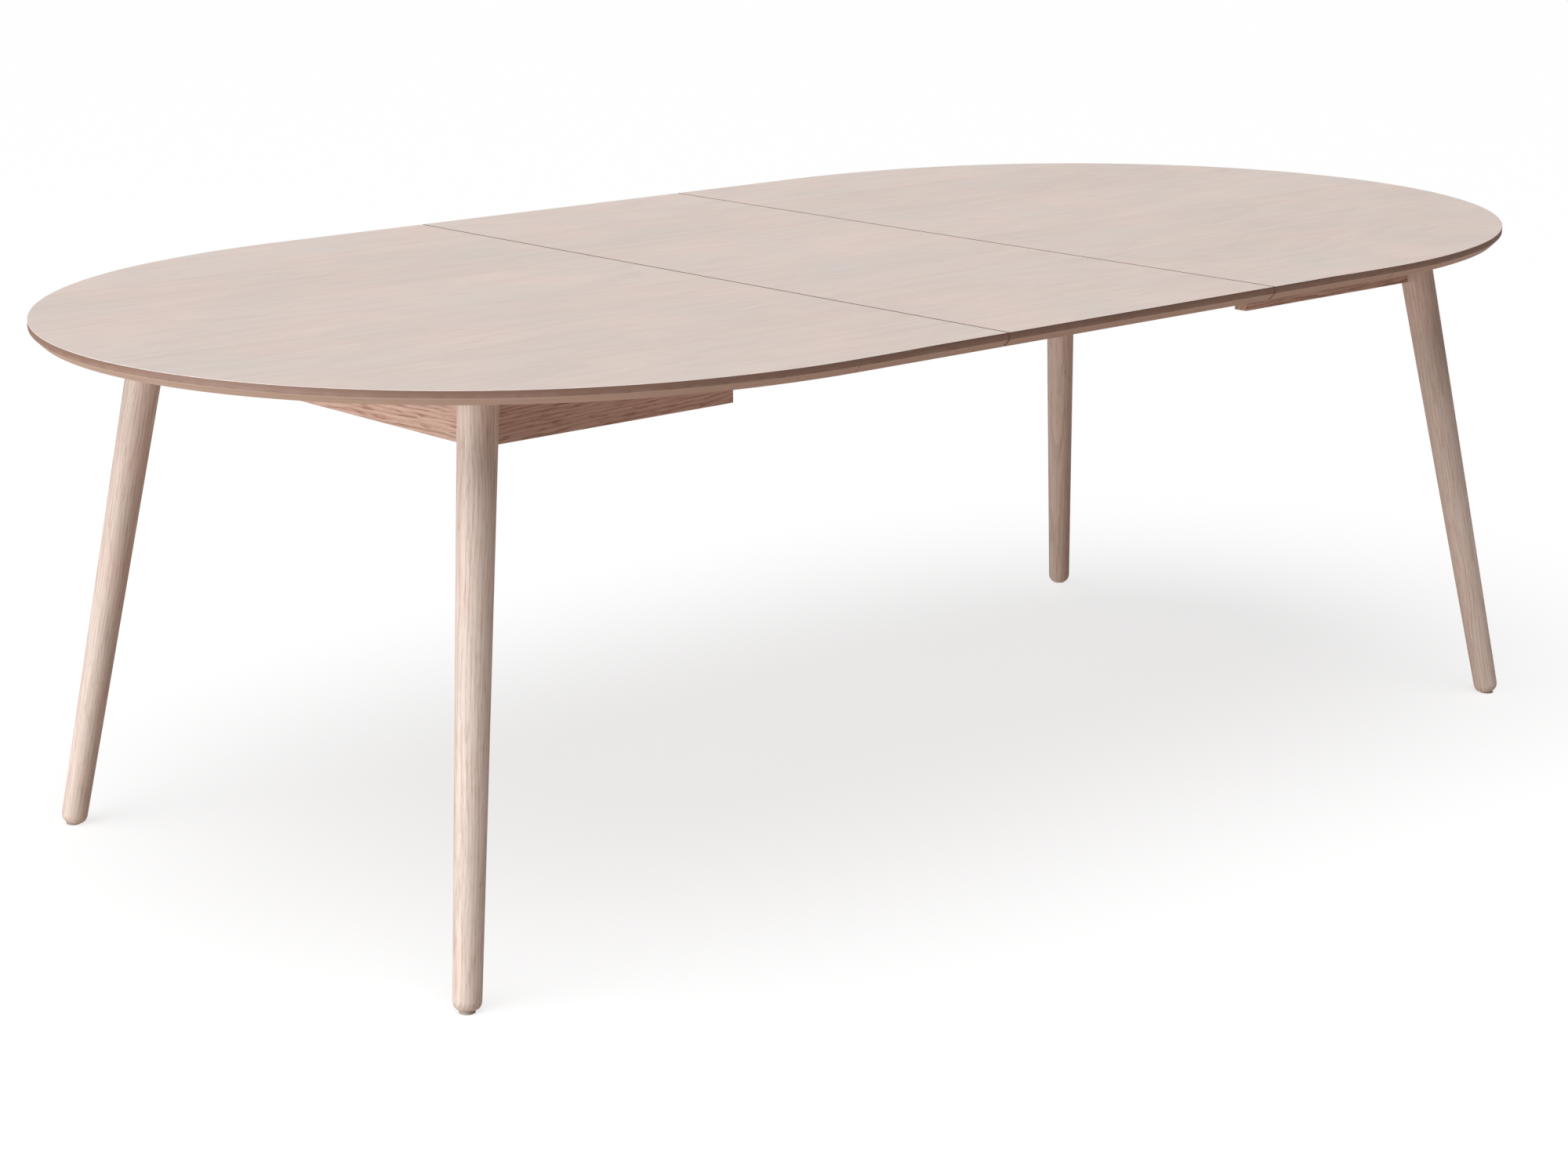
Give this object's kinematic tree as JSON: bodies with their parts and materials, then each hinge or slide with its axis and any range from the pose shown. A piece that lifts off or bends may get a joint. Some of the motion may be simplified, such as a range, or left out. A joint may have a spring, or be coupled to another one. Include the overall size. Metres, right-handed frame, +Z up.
{
  "type": "extendable dining table",
  "caption": "Extendable dining table with a rounded whitewashed oak top, a loose centre leaf, splayed turned legs and synchronised telescopic slides underneath",
  "frame": {"origin": "on the floor under the centre of the leaf", "axes": "+X along the length of the table toward the right half, +Y toward the back side, +Z up"},
  "size_m": [2.34, 1.25, 0.745],
  "materials": {
    "oak_veneer": "whitewashed matt lacquer",
    "oak_lipping": "whitewashed matt lacquer",
    "oak_frame": "whitewashed matt lacquer",
    "oak_legs": "whitewashed matt lacquer",
    "core_board": "particle board",
    "block_wood": "planed softwood",
    "slide_alloy": "anodised extrusion",
    "zinc_steel": "zinc plated",
    "black_nylon": "moulded nylon",
    "glide_nylon": "moulded nylon",
    "felt": "wool felt"
  },
  "bodies": {
    "left_half": {"left_top_core": "core_board", "left_top_veneer": "oak_veneer", "left_end_lipping": "oak_lipping", "left_front_lipping": "oak_lipping", "left_back_lipping": "oak_lipping", "left_end_apron": "oak_frame", "left_front_apron": "oak_frame", "left_back_apron": "oak_frame", "left_front_leg": "oak_legs", "left_back_leg": "oak_legs", "left_front_glide": "glide_nylon", "left_back_glide": "glide_nylon", "left_corner_blocks": "block_wood", "left_leg_bolts": "zinc_steel", "left_front_rail": "slide_alloy", "left_back_rail": "slide_alloy", "left_rail_packers": "black_nylon", "left_rack": "slide_alloy", "left_leveling_plates": "zinc_steel", "left_apron_brackets": "zinc_steel", "left_latch_pivots": "zinc_steel"},
    "middle": {"front_middle_rail": "slide_alloy", "back_middle_rail": "slide_alloy", "cross_tie": "zinc_steel", "pinion_axle": "zinc_steel"},
    "pinion": {"pinion": "black_nylon"},
    "right_half": {"right_top_core": "core_board", "right_top_veneer": "oak_veneer", "right_end_lipping": "oak_lipping", "right_front_lipping": "oak_lipping", "right_back_lipping": "oak_lipping", "right_end_apron": "oak_frame", "right_front_apron": "oak_frame", "right_back_apron": "oak_frame", "right_front_leg": "oak_legs", "right_back_leg": "oak_legs", "right_front_glide": "glide_nylon", "right_back_glide": "glide_nylon", "right_corner_blocks": "block_wood", "right_leg_bolts": "zinc_steel", "right_front_rail": "slide_alloy", "right_back_rail": "slide_alloy", "right_rail_packers": "black_nylon", "right_rack": "slide_alloy", "right_leveling_plates": "zinc_steel", "right_apron_brackets": "zinc_steel", "right_keepers": "zinc_steel"},
    "leaf": {"leaf_core": "core_board", "leaf_veneer": "oak_veneer", "leaf_front_lipping": "oak_lipping", "leaf_back_lipping": "oak_lipping", "leaf_felt_strips": "felt", "leaf_keepers": "zinc_steel", "leaf_latch_pivots": "zinc_steel"},
    "left_front_latch": {"left_front_latch": "zinc_steel"},
    "left_back_latch": {"left_back_latch": "zinc_steel"},
    "leaf_front_latch": {"leaf_front_latch": "zinc_steel"},
    "leaf_back_latch": {"leaf_back_latch": "zinc_steel"}
  },
  "joints": [
    {"name": "middle_slide", "type": "slide", "parent": "left_half", "child": "middle", "axis": [1, 0, 0], "range_m": [-0.25, 0]},
    {"name": "right_slide", "type": "slide", "parent": "middle", "child": "right_half", "axis": [1, 0, 0], "range_m": [-0.25, 0]},
    {"name": "pinion_spin", "type": "hinge", "parent": "middle", "child": "pinion", "pos_m": [0, 0, 0.702], "axis": [0, 0, 1], "range_deg": [0, 597]},
    {"name": "leaf_lift", "type": "slide", "parent": "middle", "child": "leaf", "axis": [0, 0, 1], "range_m": [0, 0.6]},
    {"name": "left_front_latch_turn", "type": "hinge", "parent": "left_half", "child": "left_front_latch", "pos_m": [-0.294, -0.33, 0.718], "axis": [0, 0, 1], "range_deg": [0, 90]},
    {"name": "left_back_latch_turn", "type": "hinge", "parent": "left_half", "child": "left_back_latch", "pos_m": [-0.294, 0.33, 0.718], "axis": [0, 0, 1], "range_deg": [-90, 0]},
    {"name": "leaf_front_latch_turn", "type": "hinge", "parent": "leaf", "child": "leaf_front_latch", "pos_m": [0.206, -0.33, 0.718], "axis": [0, 0, 1], "range_deg": [0, 90]},
    {"name": "leaf_back_latch_turn", "type": "hinge", "parent": "leaf", "child": "leaf_back_latch", "pos_m": [0.206, 0.33, 0.718], "axis": [0, 0, 1], "range_deg": [-90, 0]}
  ],
  "couplings": [
    {"joint": "right_slide", "follows": "middle_slide", "ratio": 1},
    {"joint": "pinion_spin", "follows": "middle_slide", "rad_per_m": -41.667},
    {"joint": "leaf_lift", "follows": "middle_slide", "ratio": -2.4}
  ]
}
